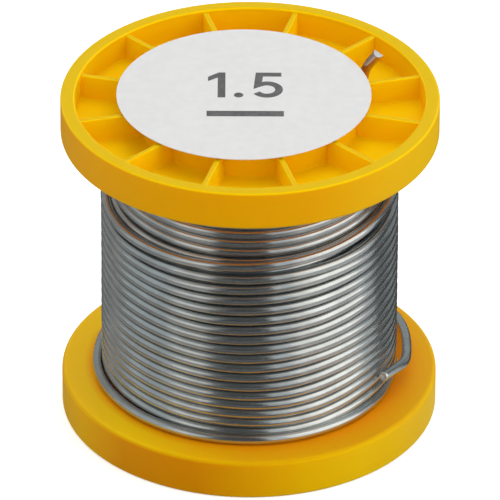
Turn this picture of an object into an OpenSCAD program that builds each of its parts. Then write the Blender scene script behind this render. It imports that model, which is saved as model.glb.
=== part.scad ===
// Solder wire on a small moulded spool, standing on its lower flange.
// Millimetres, +Z up, origin at the middle of the lower flange's rest face.
// The front of the spool faces -Y. Angles are turned about Z, with 0 along +X.

/* [Spool] */
// Diameter of both flanges
flange_d = 54.2; // [50:0.2:62]
// Height over both flanges
spool_h = 50.8; // [42:0.2:56]
// Depth of each flange, from its outer face to the wire
flange_depth = 5.9; // [5.2:0.1:7]
// Thickness of the rim round each flange
rim_wall = 2.1; // [1.4:0.1:3]
// Thickness of the flange's floor
web_t = 1.9; // [1.4:0.1:2.4]
// Rounding of the rim's edges
edge_r = 0.5; // [0.2:0.05:0.6]

/* [Ribs] */
// Number of ribs between hub and rim
rib_count = 12; // [8:1:16]
// Thickness of a rib
rib_t = 0.85; // [0.6:0.05:1.4]
// How far the ribs stay below the rim
rib_drop = 0.35; // [0.2:0.05:1.2]

/* [Hub] */
// Outer diameter of the hub ring in each flange
hub_d = 31.6; // [29:0.2:33]
// Thickness of the hub ring
hub_wall = 1.7; // [1.2:0.1:2]
// Diameter of the spindle bore
bore_d = 11; // [8:0.5:14]
// Wall round the spindle bore
boss_wall = 1.6; // [1.2:0.1:2.4]
// Number of spokes between the bore's boss and the hub ring
spoke_count = 6; // [4:1:8]

/* [Barrel] */
// Outer diameter of the tube that the wire is wound on
barrel_d = 34.6; // [34:0.2:38]
// Wall of the tube
barrel_wall = 1.8; // [1.4:0.1:2]
// How far each flange's spigot reaches into the tube
spigot_h = 4; // [2:0.5:8]
// Clearance between spigot and tube, all round
spigot_gap = 0.05; // [0.02:0.01:0.1]

/* [Wire] */
// Diameter of the solder wire
wire_d = 1.5; // [1.2:0.1:1.6]
// Least space between one turn and the next
turn_gap = 0.41; // [0.41:0.01:0.6]
// Space between the turns and what they lie on
lay_gap = 0.05; // [0.03:0.01:0.1]
// Turns of the layer below that the outer layer leaves bare
bare_turns = 4; // [1:1:5]
// How far the loose last turn stands out from the outer layer
loose_out = 1.3; // [0.6:0.05:1.8]

/* [Wire hole] */
// Diameter of the hole that the wire's start comes up through
wire_hole_d = 2.3; // [2.2:0.1:2.6]
// Angle of the hole round the spool
wire_hole_angle = 27; // [22:1:38]

/* [Label] */
// Diameter of the paper label
label_d = 36.4; // [33:0.2:42]
// Thickness of the label
label_t = 0.15; // [0.1:0.01:0.25]
// How far the label was stuck on to the left of the middle
label_left = 0.9; // [0:0.1:1.5]
// How far the label was stuck on to the back of the middle
label_back = 0.4; // [0:0.1:1.5]

/* [Hidden] */

rim_r = flange_d / 2;
hub_r = hub_d / 2;
bore_r = bore_d / 2;
boss_r = bore_r + boss_wall;
barrel_r = barrel_d / 2;
wire_r = wire_d / 2;
first_rib_angle = 15;
// Solids that are joined reach this far into each other
joint_bite = 0.3;
// A cut runs this far past the face that it opens
cut_past = 1;
// Straight steps in each rounded edge, and the facets of round shapes
edge_steps = 2;
round_facets = 120;

// Turns of neighbouring layers nest in each other's grooves
layer_step = wire_d * cos(30);
second_layer_r = barrel_r + wire_r + layer_step;
outer_layer_r = second_layer_r + layer_step;

// Heights of the wire's middle, from the start under the upper flange to the turn on the lower one
start_clear = 0.25;
start_z = spool_h - flange_depth - wire_r - start_clear;
rest_z = flange_depth + wire_r + lay_gap;
last_turn_z = rest_z + wire_d / 3;

// The start of the wire: down through the hole, and a quarter bend into the first turn
start_bend_r = wire_d;
wire_hole_r = barrel_r + wire_r + 0.15;
start_r = norm([wire_hole_r, start_bend_r]);
start_angle = wire_hole_angle - atan2(start_bend_r, wire_hole_r);
start_spread = 0.2;
// Distance out from the hole and height over the flange's floor, from the tip downwards
tail_route = [[2.15, 5.8], [1.75, 5.1], [1.3, 4.3], [0.85, 3.5], [0.45, 2.6], [0.15, 1.7], [0, 0.8], [0, -0.2]];

// Whole turns that fit, and their pitch
part_turn = start_angle / 360;
wound_turns = floor((start_z - last_turn_z) / (wire_d + turn_gap) - part_turn) + part_turn;
pitch = (start_z - last_turn_z) / wound_turns;
step_out_turns = 0.5;
rings_per_turn = 24;
wire_sides = 6;
tube_step = 360 / rings_per_turn;

// The loose turn opens out over its first quarter, and further where it passes below the turn before
end_out = wire_d + turn_gap + 0.04;
loose_end_r = outer_layer_r + end_out;
// Past the loose turn the free end climbs: angle further round, and rise
free_end_route = [[4, 0.4], [8, 1], [13, 1.6], [18, 2.2], [22, 2.6], [26, 3.1], [30, 3.5]];

// The plain core below the turns, with a step where the bare turns are.
// The tube's straight pieces come closer to it than its rings do, by the cosine of half a piece.
core_inner_r = barrel_r + lay_gap;
core_low_r = (outer_layer_r - wire_r) * cos(tube_step / 2) - lay_gap;
core_high_r = (second_layer_r - wire_r) * cos(tube_step / 2) - lay_gap;
core_bottom_z = flange_depth + lay_gap;
core_step_z = start_z - pitch * (bare_turns + step_out_turns) - wire_r - lay_gap;
core_top_z = start_z - pitch * start_spread - wire_r - 0.1;

function smooth(t) = let (c = min(max(t, 0), 1)) c * c * (3 - 2 * c);
function polar(r, angle, z) = [r * cos(angle), r * sin(angle), z];
function unit(v) = v / norm(v);

// Quarter arc from one angle to the next, round a centre
function arc(cx, cy, r, from, to, steps) =
    [for (i = [0 : steps]) let (a = from + (to - from) * i / steps) [cx + r * cos(a), cy + r * sin(a)]];

// Radius of the wound wire, t turns after its start
function wound_r(t) =
    start_r + (second_layer_r - start_r) * smooth(t / start_spread)
    + (outer_layer_r - second_layer_r) * smooth((t - bare_turns) / step_out_turns);

// Radius and height of the loose last turn, u turns after the last wound one
function loose_r(u) =
    outer_layer_r + loose_out * smooth(u / 0.25) + (end_out - loose_out) * smooth((u - 0.4) / 0.5);
function loose_z(u) = max(rest_z, last_turn_z - pitch * u);

// Middle line of the wire, from the tip of its start to the tip of its free end
tail_points = [for (p = tail_route)
    polar(wire_hole_r + p[0], wire_hole_angle, spool_h - flange_depth + web_t + p[1])];
bend_points = [for (a = [15 : 25 : 65])
    let (along = start_bend_r * (1 - cos(a)), drop = start_bend_r * (1 - sin(a)))
    polar(norm([wire_hole_r, along]), wire_hole_angle - atan2(along, wire_hole_r), start_z + drop)];
ring_count = floor(wound_turns * rings_per_turn);
wound_points = [for (i = [ring_count : -1 : 0])
    let (t = wound_turns - i / rings_per_turn)
    polar(wound_r(t), tube_step * i, start_z - pitch * t)];
loose_points = [for (i = [1 : rings_per_turn])
    let (u = i / rings_per_turn)
    polar(loose_r(u), -tube_step * i, loose_z(u))];
free_end_points = [for (p = free_end_route) polar(loose_end_r, -p[0], rest_z + p[1])];
wire_points = concat(tail_points, bend_points, wound_points, loose_points, free_end_points);

// Least gap between two places on the wire that lie a third of a turn or more apart
apart = rings_per_turn / 3;
last_point = len(wire_points) - 1;
self_gap = min([for (i = [0 : last_point - apart])
    min([for (j = [i + apart : last_point]) norm(wire_points[i] - wire_points[j])])]) - wire_d;
echo(least_gap_of_the_wire_to_itself = self_gap, turns = wound_turns + 1, pitch = pitch);

// A tube of one diameter along a list of points, with flat ends
module tube_along(points, r, sides) {
    last = len(points) - 1;
    rings = [for (i = [0 : last])
        let (
            along = unit(points[min(i + 1, last)] - points[max(i - 1, 0)]),
            out = unit([points[i][0], points[i][1], 0]),
            side = unit(out - along * (out * along)),
            up = cross(along, side)
        )
        for (k = [0 : sides - 1])
            let (a = 360 * k / sides)
            points[i] + r * (cos(a) * side + sin(a) * up)];
    walls = [for (i = [0 : last - 1]) for (k = [0 : sides - 1])
        let (a = i * sides + k, b = i * sides + (k + 1) % sides)
        each [[a, b, a + sides], [b, b + sides, a + sides]]];
    start_cap = [for (k = [1 : sides - 2]) [0, k + 1, k]];
    end_cap = [for (k = [1 : sides - 2]) [last * sides, last * sides + k, last * sides + k + 1]];
    polyhedron(points = rings, faces = concat(walls, start_cap, end_cap));
}

// Half section of the rim and floor: outer face at the bottom, wire side at the top
module rim_section() {
    inner_r = rim_r - rim_wall;
    polygon(concat(
        [[boss_r - joint_bite, flange_depth], [boss_r - joint_bite, flange_depth - web_t]],
        [[inner_r, flange_depth - web_t]],
        arc(inner_r + edge_r, edge_r, edge_r, 180, 270, edge_steps),
        arc(rim_r - edge_r, edge_r, edge_r, 270, 360, edge_steps),
        arc(rim_r - edge_r, flange_depth - edge_r, edge_r, 0, 90, edge_steps)
    ));
}

// A ring with a square section, standing on the plane z = from
module ring(outer_r, inner_r, from, to) {
    translate([0, 0, from])
        difference() {
            cylinder(h = to - from, r = outer_r, $fn = round_facets);
            translate([0, 0, -cut_past])
                cylinder(h = to - from + 2 * cut_past, r = inner_r, $fn = round_facets);
        }
}

// Straight ribs on the flange's floor, from one radius to another
module ribs(count, first_angle, from_r, to_r) {
    for (i = [0 : count - 1])
        rotate([0, 0, first_angle + 360 * i / count])
            translate([from_r, -rib_t / 2, rib_drop])
                cube([to_r - from_r, rib_t, flange_depth - web_t - rib_drop + joint_bite]);
}

// One flange moulding, outer face down; the two flanges differ only in which side their hole is
module flange(hole_angle) {
    difference() {
        union() {
            rotate_extrude($fn = round_facets) rim_section();
            ring(boss_r, bore_r, 0, flange_depth);
            ring(hub_r, hub_r - hub_wall, 0, flange_depth - web_t + joint_bite);
            ring(barrel_r - barrel_wall - spigot_gap, hub_r - hub_wall,
                flange_depth - joint_bite, flange_depth + spigot_h);
            ribs(rib_count, first_rib_angle, hub_r - joint_bite, rim_r - rim_wall + joint_bite);
            ribs(spoke_count, 0, boss_r - joint_bite, hub_r - hub_wall + joint_bite);
        }
        translate([0, 0, -cut_past])
            rotate([0, 0, hole_angle])
                translate([wire_hole_r, 0, 0])
                    cylinder(h = flange_depth + 2 * cut_past, d = wire_hole_d, $fn = 32);
    }
}

module lower_flange() {
    color("orange") flange(wire_hole_angle);
}

module upper_flange() {
    color("orange")
        translate([0, 0, spool_h])
            rotate([180, 0, 0])
                flange(-wire_hole_angle);
}

module barrel() {
    color("darkorange") ring(barrel_r, barrel_r - barrel_wall, flange_depth, spool_h - flange_depth);
}

// The layers of wire below the outer one, as one plain stepped core
module inner_layers() {
    color("dimgray")
        rotate_extrude($fn = round_facets)
            polygon([
                [core_inner_r, core_bottom_z], [core_low_r, core_bottom_z],
                [core_low_r, core_step_z], [core_high_r, core_step_z],
                [core_high_r, core_top_z], [core_inner_r, core_top_z]
            ]);
}

// The visible wire, in one length from its start to its free end
module solder_wire() {
    color("silver") tube_along(wire_points, wire_r, wire_sides);
}

module top_label() {
    color("white")
        translate([-label_left, label_back, spool_h])
            cylinder(h = label_t, d = label_d, $fn = round_facets);
}

lower_flange();
upper_flange();
barrel();
inner_layers();
solder_wire();
top_label();
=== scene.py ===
# %% [markdown]
# # A spool of solder wire
# The object is a small moulded spool: two ribbed flanges on a barrel, a paper label, and one
# length of bright wire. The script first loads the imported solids, which give every size and place,
# and then builds a detailed piece over each solid that shows.

# %% Load the frame
import math

import bmesh
import bpy
import numpy as np
from mathutils import Matrix, Vector


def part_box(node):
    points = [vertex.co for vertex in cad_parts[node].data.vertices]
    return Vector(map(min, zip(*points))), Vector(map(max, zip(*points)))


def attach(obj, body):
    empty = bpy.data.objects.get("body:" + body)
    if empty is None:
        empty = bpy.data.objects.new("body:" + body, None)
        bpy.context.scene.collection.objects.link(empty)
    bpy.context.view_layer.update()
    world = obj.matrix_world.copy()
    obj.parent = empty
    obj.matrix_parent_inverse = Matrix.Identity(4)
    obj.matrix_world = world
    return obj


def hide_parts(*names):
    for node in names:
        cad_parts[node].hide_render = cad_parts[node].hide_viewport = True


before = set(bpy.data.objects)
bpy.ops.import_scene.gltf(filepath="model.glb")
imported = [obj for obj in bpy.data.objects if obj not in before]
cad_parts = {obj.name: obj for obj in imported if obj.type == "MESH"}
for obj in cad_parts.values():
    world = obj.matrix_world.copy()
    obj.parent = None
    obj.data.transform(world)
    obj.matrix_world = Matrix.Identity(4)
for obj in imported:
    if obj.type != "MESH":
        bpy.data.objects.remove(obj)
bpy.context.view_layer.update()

MM = 0.001
print("nodes:", sorted(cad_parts))

# %% [markdown]
# ## Camera
# From near by, the far flange would look much smaller than the near one. From far away, through a long
# lens, the two keep nearly the same width. So the camera stands 1344 mm away, 32 degrees above the
# bench, and rolls by a quarter of a degree. A Track To constraint could aim it. Here its matrix is
# worked out instead, because the roll is then one more turn.

# %% Camera
TARGET = Vector((0, 0, 25.41 * MM))
ELEVATION = math.radians(31.565)
DISTANCE = 1344 * MM
FOCAL_LENGTH = 672.0
SENSOR_WIDTH = 36.0
SHIFT_X, SHIFT_Y = 0.0009, -0.0047
ROLL = math.radians(0.236)


def make_camera():
    data = bpy.data.cameras.new("product_camera")
    data.lens = FOCAL_LENGTH
    data.sensor_width = SENSOR_WIDTH
    data.shift_x, data.shift_y = SHIFT_X, SHIFT_Y
    data.clip_start, data.clip_end = 0.05, 20
    camera = bpy.data.objects.new("product_camera", data)
    bpy.context.scene.collection.objects.link(camera)
    back = Vector((0, -math.cos(ELEVATION), math.sin(ELEVATION)))
    turn = (-back).to_track_quat("-Z", "Y").to_matrix() @ Matrix.Rotation(ROLL, 3, "Z")
    camera.matrix_world = Matrix.Translation(TARGET + back * DISTANCE) @ turn.to_4x4()
    bpy.context.scene.camera = camera
    return camera


camera = make_camera()
print("camera at", [round(v, 3) for v in camera.location])

# %% [markdown]
# ## Materials
# A material is a small network of nodes. It could be drawn by hand in the shader editor, but a script
# that writes it can be read line by line. These helpers keep each network short: one adds a node with
# its values, one joins two sockets, and the last one gives a material its roughness and relief. All
# patterns read Object coordinates, so they stay on the piece and have the same scale everywhere.

# %% Helpers for nodes


def new_material(name):
    material = bpy.data.materials.new(name)
    material.use_nodes = True
    tree = material.node_tree
    tree.nodes.clear()
    output = tree.nodes.new("ShaderNodeOutputMaterial")
    return material, tree, output


def add_node(tree, kind, **values):
    node = tree.nodes.new("ShaderNode" + kind)
    for key, value in values.items():
        if key in node.inputs:
            node.inputs[key].default_value = value
        else:
            setattr(node, key, value)
    return node


def join(tree, out_node, out_name, in_node, in_name):
    """Joins an output to an input; each is given by its name or by its number."""
    tree.links.new(out_node.outputs[out_name], in_node.inputs[in_name])


print("node helpers ready")

# %% Helpers for patterns and finishes


def noise_on_object(tree, scale, detail=2.0, stretch=(1, 1, 1)):
    where = add_node(tree, "TexCoord")
    place = add_node(tree, "Mapping", Scale=stretch)
    noise = add_node(tree, "TexNoise", Scale=scale, Detail=detail)
    join(tree, where, "Object", place, "Vector")
    join(tree, place, "Vector", noise, "Vector")
    return noise


def bump_from(tree, height_node, height_name, distance, strength):
    bump = add_node(tree, "Bump", Distance=distance, Strength=strength)
    join(tree, height_node, height_name, bump, "Height")
    return bump


def ramp_from(tree, source, source_name, low, high, low_at=0.35, high_at=0.65):
    ramp = add_node(tree, "ValToRGB")
    ramp.color_ramp.elements[0].position = low_at
    ramp.color_ramp.elements[1].position = high_at
    ramp.color_ramp.elements[0].color = low
    ramp.color_ramp.elements[1].color = high
    join(tree, source, source_name, ramp, "Fac")
    return ramp


def grey(value):
    return (value, value, value, 1)


def share_between(tree, value, start, end):
    """0 where the value is at the start, 1 where it is at the end, and even in between."""
    share = add_node(tree, "MapRange")
    tree.links.new(value, share.inputs["Value"])
    share.inputs["From Min"].default_value = start
    share.inputs["From Max"].default_value = end
    return share


def finish_surface(tree, shader, output, patches, roughness, relief=None, height=0.0, strength=0.0):
    """Roughness from one noise, fine relief in millimetres from another, and the shader's output."""
    rough = ramp_from(tree, patches, "Fac", grey(roughness[0]), grey(roughness[1]))
    join(tree, rough, "Color", shader, "Roughness")
    if relief:
        bump = bump_from(tree, relief, "Fac", height * MM, strength)
        join(tree, bump, "Normal", shader, "Normal")
    join(tree, shader, "BSDF", output, "Surface")


print("pattern helpers ready")

# %% [markdown]
# The flanges are moulded in amber polystyrene. It is a little translucent: red light travels a few
# millimetres through it and green light less, so thin ribs glow and deep corners turn orange.
# Subsurface scattering does the near part of that. The rest is painted light and shade: each kind of
# face gets a tone set for the light that it gets. The open faces get their light directly and are
# painted a darker yellow than the pockets, and the side and the wire side, which lie more in shade and
# get their light through more plastic, are painted redder.
# Height times the normal's Z tells the kinds of face apart on both flanges with one rule.
# Some tones also change across the spool, as painted light and shade of the room. The side is painted
# yellowest at the right, and the lower flange's wire side yellowest at the left, outside the wound
# wire's painted shade. Short lists of places and colours hold such tones, and a colour ramp reads them.
# The upper flange's wire side is always in shade, seen only in the wire's reflections, and has its own
# colours, a redder painted shade.
# A painted image could hold all this too, but it would need seams and a size in pixels, and nodes
# that read the place itself need neither.

# %% Height of the spool
SPOOL_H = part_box("upper_flange")[1].z / MM
print("spool height", round(SPOOL_H, 2), "mm")

# %% Tones of the amber plastic


def amber(red, green, blue=0.001):
    return (red, green, blue, 1)


# Painted light and shade: each tone is set for the light that its kind of face gets.
OPEN_FACE, SHADED_ROUNDED_EDGE = amber(0.73, 0.485), amber(0.82, 0.47)
POCKET_FLOOR, RIB_WALL, RING_WALL = amber(0.96, 0.62), amber(0.98, 0.64), amber(0.985, 0.59)
# Painted shade of the wound wire: the wire side is redder under the wire and near it.
SHADE_UNDER_WIRE = amber(0.96, 0.31)
UPPER_NEAR_WIRE, LOWER_NEAR_WIRE = amber(0.96, 0.30, 0.03), amber(0.94, 0.335)
# Painted light of the room, by distance to the right: the side is deepest left of the middle and
# yellowest at the right, and the wire side near the rim is lightest at the left.
UPPER_SIDE = [(8, amber(0.97, 0.455)), (24, amber(0.985, 0.57))]
LOWER_SIDE = [
    (-24, amber(0.94, 0.50)), (-18, amber(0.81, 0.32)), (-8, amber(0.81, 0.31)),
    (8, amber(1.0, 0.55)), (16, amber(1.0, 0.60)), (24, amber(0.91, 0.54)),
]
UPPER_NEAR_RIM = [(-25, amber(0.97, 0.42, 0.03)), (25, amber(0.97, 0.42, 0.03))]
LOWER_NEAR_RIM = [
    (-25, amber(1.0, 0.57)), (-18, amber(1.0, 0.62)), (-9, amber(0.98, 0.55)), (0, amber(0.88, 0.455)),
    (9, amber(0.86, 0.45)), (17, amber(0.79, 0.39)), (25, amber(0.76, 0.41)),
]
print("tones:", len(LOWER_SIDE), "on the lower side,", len(LOWER_NEAR_RIM), "near its rim")

# %% Where on the spool a point lies


def where_on_spool(tree):
    """Distance from the axis, distance to the right, and height above the middle times normal Z."""
    where = add_node(tree, "TexCoord")
    facing = add_node(tree, "SeparateXYZ")
    height = add_node(tree, "SeparateXYZ")
    join(tree, where, "Normal", facing, "Vector")
    join(tree, where, "Object", height, "Vector")
    from_middle = add_node(tree, "Math", operation="SUBTRACT")
    join(tree, height, "Z", from_middle, "Value")
    from_middle.inputs[1].default_value = SPOOL_H / 2 * MM
    outwards = add_node(tree, "Math", operation="MULTIPLY")
    join(tree, from_middle, 0, outwards, 0)
    join(tree, facing, "Z", outwards, 1)
    flat = add_node(tree, "VectorMath", operation="MULTIPLY")
    join(tree, where, "Object", flat, "Vector")
    flat.inputs[1].default_value = (1, 1, 0)
    from_axis = add_node(tree, "VectorMath", operation="LENGTH")
    join(tree, flat, "Vector", from_axis, "Vector")
    return from_axis.outputs["Value"], height.outputs["X"], outwards.outputs["Value"]


print("tones are placed by radius, by distance to the right and by height times normal Z")

# %% Blends of tones


def fade(tree, value, start, end, low, high):
    """A colour that goes from low to high while the value goes from start to end, in millimetres."""
    share = share_between(tree, value, start * MM, end * MM)
    mix = add_node(tree, "Mix", data_type="RGBA")
    join(tree, share, "Result", mix, 0)
    for slot, colour in ((6, low), (7, high)):
        if isinstance(colour, tuple):
            mix.inputs[slot].default_value = colour
        else:
            tree.links.new(colour, mix.inputs[slot])
    return mix.outputs[2]


def tones_along(tree, value, stops):
    """A colour from a list of (millimetres, colour), blended evenly from each to the next."""
    start, end = stops[0][0], stops[-1][0]
    share = share_between(tree, value, start * MM, end * MM)
    ramp = ramp_from(tree, share, "Result", stops[0][1], stops[-1][1], 0, 1)
    for at, colour in stops[1:-1]:
        ramp.color_ramp.elements.new((at - start) / (end - start)).color = colour
    return ramp.outputs["Color"]


print("blend helpers ready")

# %% Where one tone goes over into the next: by radius, by distance to the right, by the height rule
RING_TO_RIBS, RIBS_TO_RIM, RIM_TO_SIDE = (16.0, 16.4), (24.4, 24.9), (26.4, 26.8)
UNDER_TO_BESIDE, WIRE_TO_RIM = (22.3, 24), (22, 26.8)
LIT_TO_SHADED = (-20, 0)
WIRE_SIDE_TO_EDGE, EDGE_TO_WALL = (-18.5, -15), (-13, -6)
WALL_TO_FACE, POCKET_TO_TOP = (6, 19), (22, 24)
print("bands by radius:", RING_TO_RIBS, RIBS_TO_RIM, RIM_TO_SIDE)

# %% The plastic itself
AMBER_BODY = {
    "IOR": 1.5, "Specular IOR Level": 0.17, "Specular Tint": (1.0, 0.6, 0.05, 1),
    "Subsurface Weight": 0.4, "Subsurface Radius": (1.0, 0.3, 0.06), "Subsurface Scale": 1.8 * MM,
}


def amber_plastic(name, near_wire, rim_tones, side_tones):
    material, tree, output = new_material(name)
    shader = add_node(tree, "BsdfPrincipled", **AMBER_BODY)
    radius, rightwards, outwards = where_on_spool(tree)
    walls = fade(tree, radius, *RING_TO_RIBS, RING_WALL, RIB_WALL)
    walls = fade(tree, radius, *RIBS_TO_RIM, walls, RING_WALL)
    walls = fade(tree, radius, *RIM_TO_SIDE, walls, tones_along(tree, rightwards, side_tones))
    outer_faces = fade(tree, outwards, *POCKET_TO_TOP, POCKET_FLOOR, OPEN_FACE)
    near_rim = tones_along(tree, rightwards, rim_tones)
    # Painted shade: from the middle to the right the wire side turns to its shaded tone near the wire,
    # and right under the wire it is redder still.
    near_wire = fade(tree, rightwards, *LIT_TO_SHADED, near_rim, near_wire)
    wire_side = fade(tree, radius, *WIRE_TO_RIM, near_wire, near_rim)
    wire_side = fade(tree, radius, *UNDER_TO_BESIDE, SHADE_UNDER_WIRE, wire_side)
    skin = fade(tree, outwards, *WALL_TO_FACE, walls, outer_faces)
    # Painted shade: the rounded edge of the wire side gets a darker tone, so that its edge line stays
    # faint.
    skin = fade(tree, outwards, *EDGE_TO_WALL, SHADED_ROUNDED_EDGE, skin)
    skin = fade(tree, outwards, *WIRE_SIDE_TO_EDGE, wire_side, skin)
    tree.links.new(skin, shader.inputs["Base Color"])
    cloud = noise_on_object(tree, 180, 3)
    orange_peel = noise_on_object(tree, 900, 2)
    finish_surface(tree, shader, output, cloud, (0.46, 0.54), orange_peel, 0.02, 0.25)
    return material


plastic = amber_plastic("amber_plastic", LOWER_NEAR_WIRE, LOWER_NEAR_RIM, LOWER_SIDE)
shaded_plastic = amber_plastic("amber_plastic_shaded", UPPER_NEAR_WIRE, UPPER_NEAR_RIM, UPPER_SIDE)
print("materials:", plastic.name, shaded_plastic.name)

# %% [markdown]
# Solder is a bright tin alloy, drawn through a die. The surface is a blurred mirror with faint
# scratches and dull patches where the wire was handled. With one roughness everywhere it would look
# like chrome plate, so a noise varies both its brightness and its roughness. The grooves between turns
# get a painted shade: the colour gets darker where the surface looks steeply down or up. The start,
# which stands up through the upper flange, has a thin warm film of old flux.
# The cut ends are brighter and rougher.

# %% Solder
FILM_START, FILM_END = 46.0, 47.5
WARM_FILM = (0.88, 0.58, 0.45, 1)


def solder_metal(name, brightness, roughness, groove_shade_grey, film):
    material, tree, output = new_material(name)
    shader = add_node(tree, "BsdfPrincipled", Metallic=0.96)
    patches = noise_on_object(tree, 260, 4)
    colour = ramp_from(
        tree, patches, "Fac",
        (brightness * 0.84, brightness * 0.87, brightness * 0.86, 1),
        (brightness * 0.965, brightness, brightness * 0.985, 1),
    )
    # Painted shade in the grooves between turns: darker where the normal points steeply down or up.
    facing = add_node(tree, "SeparateXYZ")
    join(tree, add_node(tree, "TexCoord"), "Normal", facing, "Vector")
    groove = share_between(tree, facing.outputs["Z"], -1.0, 1.0)
    crest_grey = 0.5 + 0.5 * groove_shade_grey
    groove_shade = ramp_from(tree, groove, "Result", grey(groove_shade_grey), grey(crest_grey), 0.05, 0.99)
    for position in (0.2, 0.92):
        groove_shade.color_ramp.elements.new(position).color = grey(1)
    groove_shaded = add_node(tree, "Mix", data_type="RGBA", blend_type="MULTIPLY")
    groove_shaded.inputs[0].default_value = 1.0
    join(tree, colour, "Color", groove_shaded, 6)
    join(tree, groove_shade, "Color", groove_shaded, 7)
    place_in_object = add_node(tree, "SeparateXYZ")
    join(tree, add_node(tree, "TexCoord"), "Object", place_in_object, "Vector")
    above_floor = share_between(tree, place_in_object.outputs["Z"], FILM_START * MM, FILM_END * MM)
    filmed = add_node(tree, "Mix", data_type="RGBA", blend_type="MULTIPLY")
    join(tree, above_floor, "Result", filmed, "Factor")
    join(tree, groove_shaded, 2, filmed, 6)
    filmed.inputs[7].default_value = film
    join(tree, filmed, 2, shader, "Base Color")
    scratches = noise_on_object(tree, 1800, 3, (1, 1, 4))
    finish_surface(tree, shader, output, patches, roughness, scratches, 0.01, 0.35)
    return material


solder = solder_metal("bright_solder", 0.65, (0.23, 0.15), 0.87, WARM_FILM)
fresh_cut = solder_metal("fresh_cut_solder", 0.99, (0.55, 0.4), 1.0, grey(1))
print("materials:", solder.name, fresh_cut.name)

# %% [markdown]
# The label is coated white paper. Its print is a dark grey ink. A flat colour would look like plastic
# from near, so a noise stands for the fibres in colour, roughness and relief. The ink lies on the
# paper as a piece of its own, because a shape stays sharp at any distance, and an image wouldn't.

# %% Paper and ink


def label_paper():
    material, tree, output = new_material("coated_paper")
    shader = add_node(tree, "BsdfPrincipled", IOR=1.45)
    fibres = noise_on_object(tree, 700, 4)
    colour = ramp_from(tree, fibres, "Fac", (0.71, 0.705, 0.70, 1), (0.74, 0.735, 0.73, 1))
    join(tree, colour, "Color", shader, "Base Color")
    finish_surface(tree, shader, output, fibres, (0.5, 0.62), fibres, 0.01, 0.3)
    return material


def print_ink():
    material, tree, output = new_material("grey_ink")
    shader = add_node(tree, "BsdfPrincipled", IOR=1.45)
    grain = noise_on_object(tree, 1500, 3)
    colour = ramp_from(tree, grain, "Fac", grey(0.10), grey(0.14))
    join(tree, colour, "Color", shader, "Base Color")
    finish_surface(tree, shader, output, grain, (0.5, 0.65))
    return material


paper = label_paper()
ink = print_ink()
print("materials:", paper.name, ink.name)

# %% [markdown]
# ## Mesh helpers
# Every finished piece is a plain mesh whose object sits at the origin, so its place is in its mesh.
# Sizes are written in millimetres and scaled when the mesh is made.

# %% Helpers for meshes


def object_from_mesh(name, mesh):
    piece = bpy.data.objects.new(name, mesh)
    bpy.context.scene.collection.objects.link(piece)
    return piece


def mesh_from_grid(name, points, faces):
    mesh = bpy.data.meshes.new(name)
    mesh.from_pydata([tuple(p) for p in np.asarray(points) * MM], [], faces)
    mesh.validate()
    return mesh


def frozen(piece, name):
    """The piece with its modifiers applied, as a new plain mesh object; the old one is removed."""
    bpy.context.view_layer.update()
    graph = bpy.context.evaluated_depsgraph_get()
    mesh = bpy.data.meshes.new_from_object(piece.evaluated_get(graph), depsgraph=graph)
    bpy.data.objects.remove(piece)
    mesh.name = name
    return object_from_mesh(name, mesh)


def merge_and_face_out(mesh, distance):
    work = bmesh.new()
    work.from_mesh(mesh)
    bmesh.ops.remove_doubles(work, verts=work.verts, dist=distance)
    bmesh.ops.dissolve_degenerate(work, dist=distance * 0.1, edges=work.edges)
    bmesh.ops.recalc_face_normals(work, faces=work.faces)
    work.to_mesh(mesh)
    work.free()


def set_input(modifier, name, value):
    for item in modifier.node_group.interface.items_tree:
        if item.item_type == "SOCKET" and item.in_out == "INPUT" and item.name == name:
            modifier[item.identifier] = value
            return
    raise KeyError(name)


print("mesh helpers ready")

# %% [markdown]
# ## Flanges
# A flange is a flat floor with a rim round it, a hub ring, a boss with the spindle bore, twelve ribs
# between hub and rim, and six short spokes round the boss. It could be cut from a disc with Booleans,
# but the edges that they leave are hard to round evenly. Everything but ribs and spokes is turned
# round one axis, so the mesh is a grid: its rows follow the profile and its columns go round.
# Where a rib crosses the floor, the grid is lifted to the rib's height, and because walls and ribs
# share the same height levels, the lifted grid closes exactly. Only one sixth is made this way, and
# Geometry Nodes repeat it round the axis.

# %% Sizes of a flange, in millimetres; a rib's foot and head are half its thickness there
RIM_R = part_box("upper_flange")[1].x / MM
DEPTH = 5.9
POCKET = 4.0
RIM_INNER_R = 25.0
HUB_R = 15.8
HUB_INNER_R = 14.1
BOSS_R = 7.1
BORE_R = 5.5
SPIGOT_R = 15.45
SPIGOT_H = 4.0
RIM_ROUND = 0.4
WIRE_EDGE_ROUND = 0.65
RING_ROUND = 0.28
FLOOR_FILLET = 0.35
RIB_HEIGHT = 3.65
RIB_FOOT = 0.46
RIB_HEAD = 0.38
RIB_ROUND = 0.16
print("flange radius", round(RIM_R, 2), "mm")

# %% Levels of a wall, with its fillet and its rounded top


def arc(cx, cy, radius, start, end, steps):
    angles = np.radians(np.linspace(start, end, steps + 1))
    return [(cx + radius * math.cos(a), cy + radius * math.sin(a)) for a in angles]


def wall_levels():
    """Offset from the wall and rise over the floor, from the floor up to the rib's top."""
    fillet = [
        (FLOOR_FILLET * (1 - math.sin(a)), FLOOR_FILLET * (1 - math.cos(a)))
        for a in np.radians([0, 22.5, 45, 67.5, 90])
    ]
    straight = RIB_HEIGHT - RIB_ROUND
    head = [(0.0, straight + RIB_ROUND * math.sin(b)) for b in np.radians([0, 30, 60, 90])]
    return fillet + [(0.0, 0.5 * (FLOOR_FILLET + straight))] + head


LEVELS = wall_levels()
print("levels of a wall:", len(LEVELS))

# %% Profile rows


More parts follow.
